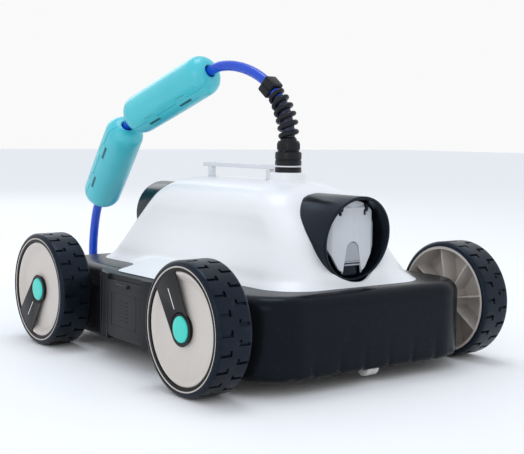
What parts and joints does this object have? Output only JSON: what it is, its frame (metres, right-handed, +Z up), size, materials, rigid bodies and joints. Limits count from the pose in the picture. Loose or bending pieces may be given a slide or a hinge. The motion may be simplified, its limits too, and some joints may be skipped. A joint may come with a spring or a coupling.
{
  "type": "pool cleaner",
  "caption": "Jet-driven four-wheel pool cleaner with a white shell, nozzle flaps, carry handle, cable swivel and floating cable.",
  "frame": {"origin": "on the floor under the middle of the machine, its cord left out", "axes": "+X to the right across the axles, +Y to the rear and -Y out of the front nozzle, +Z up"},
  "size_m": [0.438, 0.816, 0.3442],
  "materials": {
    "base_black": "satin",
    "deck_grey": "satin",
    "filter_grey": "matt",
    "mesh_nylon": "woven",
    "shell_white": "satin gloss",
    "handle_white": "satin",
    "hood_black": "satin gloss",
    "sill_grey": "satin",
    "flap_grey": "satin",
    "pod_charcoal": "matt",
    "latch_charcoal": "matt",
    "housing_dark": "matt",
    "gasket_rubber": "matt",
    "motor_steel": "brushed",
    "board_green": "coated",
    "duct_grey": "matt",
    "axle_steel": "turned",
    "screw_steel": "plated",
    "swivel_black": "satin",
    "lead_black": "matt",
    "tyre_rubber": "moulded",
    "rim_white": "satin",
    "trim_black": "satin gloss",
    "cap_teal": "gloss",
    "intake_dark": "matt",
    "impeller_white": "satin",
    "roller_white": "satin",
    "relief_rubber": "matt",
    "cable_blue": "satin",
    "float_aqua": "gloss",
    "tie_black": "woven",
    "plug_black": "matt"
  },
  "bodies": {
    "chassis": {"base_tub": "base_black", "base_deck": "base_black", "pump_deck": "deck_grey", "filter_frame": "filter_grey", "filter_mesh": "mesh_nylon", "top_shell": "shell_white", "handle": "handle_white", "hood_front": "hood_black", "hood_rear": "hood_black", "outlet_sills": "sill_grey", "side_pod_left": "pod_charcoal", "side_pod_right": "pod_charcoal", "motor_housing": "housing_dark", "housing_gasket": "gasket_rubber", "housing_lid": "housing_dark", "motors": "motor_steel", "control_board": "board_green", "shaft_seals": "gasket_rubber", "duct_front": "duct_grey", "duct_rear": "duct_grey", "stub_axles": "axle_steel", "screws": "screw_steel", "hinge_pins": "axle_steel", "swivel_seat": "swivel_black", "inner_lead": "lead_black"},
    "outlet_flap_front": {"outlet_flap_front": "flap_grey"},
    "outlet_flap_rear": {"outlet_flap_rear": "flap_grey"},
    "intake_flap_front": {"intake_flap_front": "intake_dark"},
    "intake_flap_rear": {"intake_flap_rear": "intake_dark"},
    "latch_left": {"latch_left": "latch_charcoal"},
    "latch_right": {"latch_right": "latch_charcoal"},
    "impeller_front": {"impeller_front": "impeller_white"},
    "impeller_rear": {"impeller_rear": "impeller_white"},
    "roller_front": {"roller_front": "roller_white"},
    "roller_rear": {"roller_rear": "roller_white"},
    "swivel": {"swivel_rotor": "swivel_black", "strain_relief": "relief_rubber", "clamp_collar": "swivel_black", "cable": "cable_blue", "float_1": "float_aqua", "float_2": "float_aqua", "cable_coil": "cable_blue", "coil_tie": "tie_black", "connector": "plug_black"},
    "wheel_fl": {"tyre_fl": "tyre_rubber", "rim_fl": "rim_white", "trim_fl": "trim_black", "cap_fl": "cap_teal"},
    "wheel_fr": {"tyre_fr": "tyre_rubber", "rim_fr": "rim_white", "trim_fr": "trim_black", "cap_fr": "cap_teal"},
    "wheel_rl": {"tyre_rl": "tyre_rubber", "rim_rl": "rim_white", "trim_rl": "trim_black", "cap_rl": "cap_teal"},
    "wheel_rr": {"tyre_rr": "tyre_rubber", "rim_rr": "rim_white", "trim_rr": "trim_black", "cap_rr": "cap_teal"}
  },
  "joints": [
    {"name": "wheel_fl_spin", "type": "hinge", "parent": "chassis", "child": "wheel_fl", "pos_m": [-0.178, -0.156, 0.066], "axis": [1, 0, 0], "continuous": true},
    {"name": "wheel_fr_spin", "type": "hinge", "parent": "chassis", "child": "wheel_fr", "pos_m": [0.178, -0.156, 0.066], "axis": [1, 0, 0], "continuous": true},
    {"name": "wheel_rl_spin", "type": "hinge", "parent": "chassis", "child": "wheel_rl", "pos_m": [-0.178, 0.156, 0.066], "axis": [1, 0, 0], "continuous": true},
    {"name": "wheel_rr_spin", "type": "hinge", "parent": "chassis", "child": "wheel_rr", "pos_m": [0.178, 0.156, 0.066], "axis": [1, 0, 0], "continuous": true},
    {"name": "outlet_flap_front_swing", "type": "hinge", "parent": "chassis", "child": "outlet_flap_front", "pos_m": [0, -0.177, 0.1765], "axis": [-1, 0, 0], "range_deg": [0, 50]},
    {"name": "outlet_flap_rear_swing", "type": "hinge", "parent": "chassis", "child": "outlet_flap_rear", "pos_m": [0, 0.177, 0.1765], "axis": [1, 0, 0], "range_deg": [0, 50]},
    {"name": "intake_flap_front_lift", "type": "hinge", "parent": "chassis", "child": "intake_flap_front", "pos_m": [0, -0.073, 0.033], "axis": [1, 0, 0], "range_deg": [0, 60]},
    {"name": "intake_flap_rear_lift", "type": "hinge", "parent": "chassis", "child": "intake_flap_rear", "pos_m": [0, 0.073, 0.033], "axis": [-1, 0, 0], "range_deg": [0, 60]},
    {"name": "latch_left_open", "type": "hinge", "parent": "chassis", "child": "latch_left", "pos_m": [-0.166, 0, 0.03], "axis": [0, -1, 0], "range_deg": [0, 60]},
    {"name": "latch_right_open", "type": "hinge", "parent": "chassis", "child": "latch_right", "pos_m": [0.166, 0, 0.03], "axis": [0, 1, 0], "range_deg": [0, 60]},
    {"name": "impeller_front_spin", "type": "hinge", "parent": "chassis", "child": "impeller_front", "pos_m": [0, -0.104, 0.145], "axis": [0, 1, 0], "continuous": true},
    {"name": "impeller_rear_spin", "type": "hinge", "parent": "chassis", "child": "impeller_rear", "pos_m": [0, 0.104, 0.145], "axis": [0, 1, 0], "continuous": true},
    {"name": "roller_front_spin", "type": "hinge", "parent": "chassis", "child": "roller_front", "pos_m": [0, -0.205, 0.016], "axis": [1, 0, 0], "continuous": true},
    {"name": "roller_rear_spin", "type": "hinge", "parent": "chassis", "child": "roller_rear", "pos_m": [0, 0.205, 0.016], "axis": [1, 0, 0], "continuous": true},
    {"name": "cable_swivel", "type": "hinge", "parent": "chassis", "child": "swivel", "pos_m": [0, -0.069, 0.225], "axis": [0, 0, 1], "continuous": true}
  ]
}
